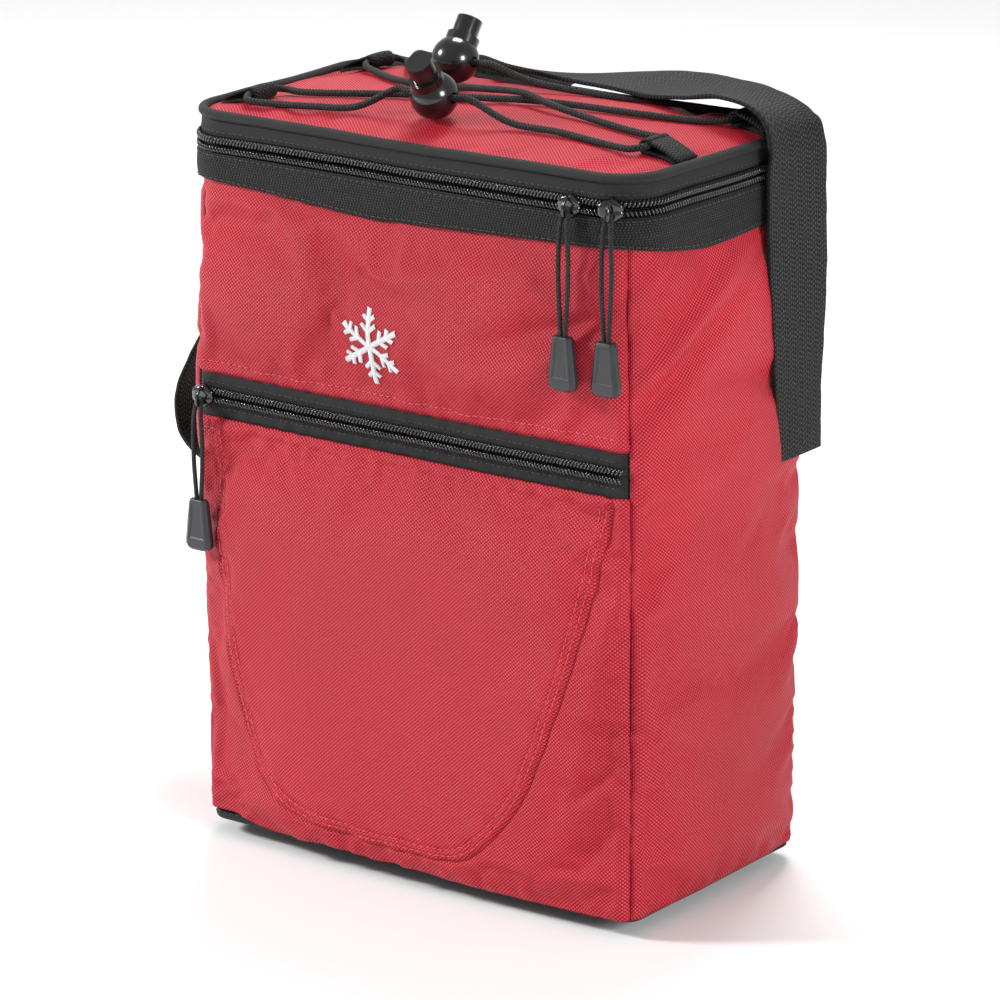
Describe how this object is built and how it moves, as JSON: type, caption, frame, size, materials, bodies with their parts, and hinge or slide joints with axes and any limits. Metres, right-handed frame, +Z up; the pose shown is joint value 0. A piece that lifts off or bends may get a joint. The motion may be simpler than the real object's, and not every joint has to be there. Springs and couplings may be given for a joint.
{
  "type": "insulated cooler bag",
  "caption": "Tall soft-sided cooler bag: zipped padded lid laced with bungee cord, flat zipped front pocket and webbing shoulder strap.",
  "frame": {"origin": "centre of the sewn base's underside, on the floor", "axes": "+X to the right seen from the front, +Y towards the back, +Z up; the pocket faces -Y"},
  "size_m": [0.3296, 0.159, 0.3541],
  "materials": {
    "red_fabric": "coated woven polyester, satin",
    "pocket_lining": "plain thin polyester",
    "black_fabric": "woven polyester binding",
    "black_webbing": "coarse woven polypropylene webbing",
    "foam": "closed-cell foam, matte",
    "silver_liner": "wipe-clean laminated film, soft sheen",
    "zip_tape": "herringbone zip tape",
    "zip_coil": "moulded nylon coil",
    "slider_metal": "black enamel, glossy",
    "braided_cord": "fine braided cord",
    "moulded_grey": "moulded dark grey, satin",
    "bungee": "braided elastic cord",
    "gloss_black": "moulded black, glossy",
    "spring_steel": "plain spring wire",
    "white_thread": "embroidery thread"
  },
  "bodies": {
    "bag": {"front_upper_panel": "red_fabric", "pocket_panel": "red_fabric", "pocket_backing": "pocket_lining", "left_side_panel": "red_fabric", "right_side_panel": "red_fabric", "back_panel": "red_fabric", "base_panel": "black_fabric", "base_binding": "black_fabric", "top_band": "black_webbing", "foam_front": "foam", "foam_back": "foam", "foam_left": "foam", "foam_right": "foam", "foam_base": "foam", "liner": "silver_liner", "rim_binding": "black_fabric", "hinge_strip": "black_fabric", "lower_zip_tape": "zip_tape", "lower_zip_coil": "zip_coil", "pocket_tape_upper": "zip_tape", "pocket_tape_lower": "zip_tape", "pocket_coil_upper": "zip_coil", "pocket_coil_lower": "zip_coil", "strap_end_left": "black_webbing", "strap_end_right": "black_webbing"},
    "lid": {"upper_zip_coil": "zip_coil", "upper_zip_tape": "zip_tape", "lid_rear_strip": "black_fabric", "lid_panel": "red_fabric", "lid_piping": "black_fabric", "lid_foam": "foam", "lid_liner": "silver_liner", "bungee_cord": "bungee", "tab_front_left": "black_webbing", "tab_front_right": "black_webbing", "tab_rear_left": "black_webbing", "tab_rear_right": "black_webbing"},
    "strap": {"shoulder_strap": "black_webbing"},
    "slider_left": {"slider_left": "slider_metal", "bridge_left": "slider_metal"},
    "pull_left": {"loop_left": "braided_cord", "pull_end_left": "moulded_grey"},
    "slider_right": {"slider_right": "slider_metal", "bridge_right": "slider_metal"},
    "pull_right": {"loop_right": "braided_cord", "pull_end_right": "moulded_grey"},
    "slider_pocket": {"slider_pocket": "slider_metal", "bridge_pocket": "slider_metal"},
    "pull_pocket": {"loop_pocket": "braided_cord", "pull_end_pocket": "moulded_grey"},
    "lock_front": {"lock_body_front": "gloss_black", "lock_spring_front": "spring_steel"},
    "button_front": {"lock_button_front": "gloss_black"},
    "lock_rear": {"lock_body_rear": "gloss_black", "lock_spring_rear": "spring_steel"},
    "button_rear": {"lock_button_rear": "gloss_black"}
  },
  "joints": [
    {"name": "lid_hinge", "type": "hinge", "parent": "bag", "child": "lid", "pos_m": [0, 0.0645, 0.3053], "axis": [-1, 0, 0], "range_deg": [0, 100]},
    {"name": "strap_swing", "type": "hinge", "parent": "bag", "child": "strap", "pos_m": [0, 0.052, 0.19], "axis": [-1, 0, 0], "range_deg": [0, 60]},
    {"name": "slider_left_slide", "type": "slide", "parent": "bag", "child": "slider_left", "axis": [-1, 0, 0], "range_m": [0, 0.18]},
    {"name": "slider_right_slide", "type": "slide", "parent": "bag", "child": "slider_right", "axis": [-1, 0, 0], "range_m": [0, 0.0045]},
    {"name": "slider_pocket_slide", "type": "slide", "parent": "bag", "child": "slider_pocket", "axis": [1, 0, 0], "range_m": [0, 0.212]},
    {"name": "pull_left_swing", "type": "hinge", "parent": "slider_left", "child": "pull_left", "pos_m": [0.085, -0.0705, 0.3017], "axis": [-1, 0, 0], "range_deg": [0, 90]},
    {"name": "pull_right_swing", "type": "hinge", "parent": "slider_right", "child": "pull_right", "pos_m": [0.104, -0.0705, 0.3017], "axis": [-1, 0, 0], "range_deg": [0, 90]},
    {"name": "pull_pocket_swing", "type": "hinge", "parent": "slider_pocket", "child": "pull_pocket", "pos_m": [-0.108, -0.0705, 0.1909], "axis": [-1, 0, 0], "range_deg": [0, 90]},
    {"name": "lock_front_slide", "type": "slide", "parent": "lid", "child": "lock_front", "axis": [1, 0, 0], "range_m": [-0.007, 0.007]},
    {"name": "button_front_press", "type": "slide", "parent": "lock_front", "child": "button_front", "axis": [0, 0.5736, -0.8192], "range_m": [0, 0.003], "stiffness_N_per_m": 500, "springref_m": -0.001, "deforming": ["lock_spring_front"]},
    {"name": "lock_rear_slide", "type": "slide", "parent": "lid", "child": "lock_rear", "axis": [1, 0, 0], "range_m": [-0.007, 0.007]},
    {"name": "button_rear_press", "type": "slide", "parent": "lock_rear", "child": "button_rear", "axis": [0, -0.5736, -0.8192], "range_m": [0, 0.003], "stiffness_N_per_m": 500, "springref_m": -0.001, "deforming": ["lock_spring_rear"]}
  ],
  "couplings": [
    {"joint": "strap_swing", "follows": "lid_hinge", "ratio": 0.6}
  ]
}
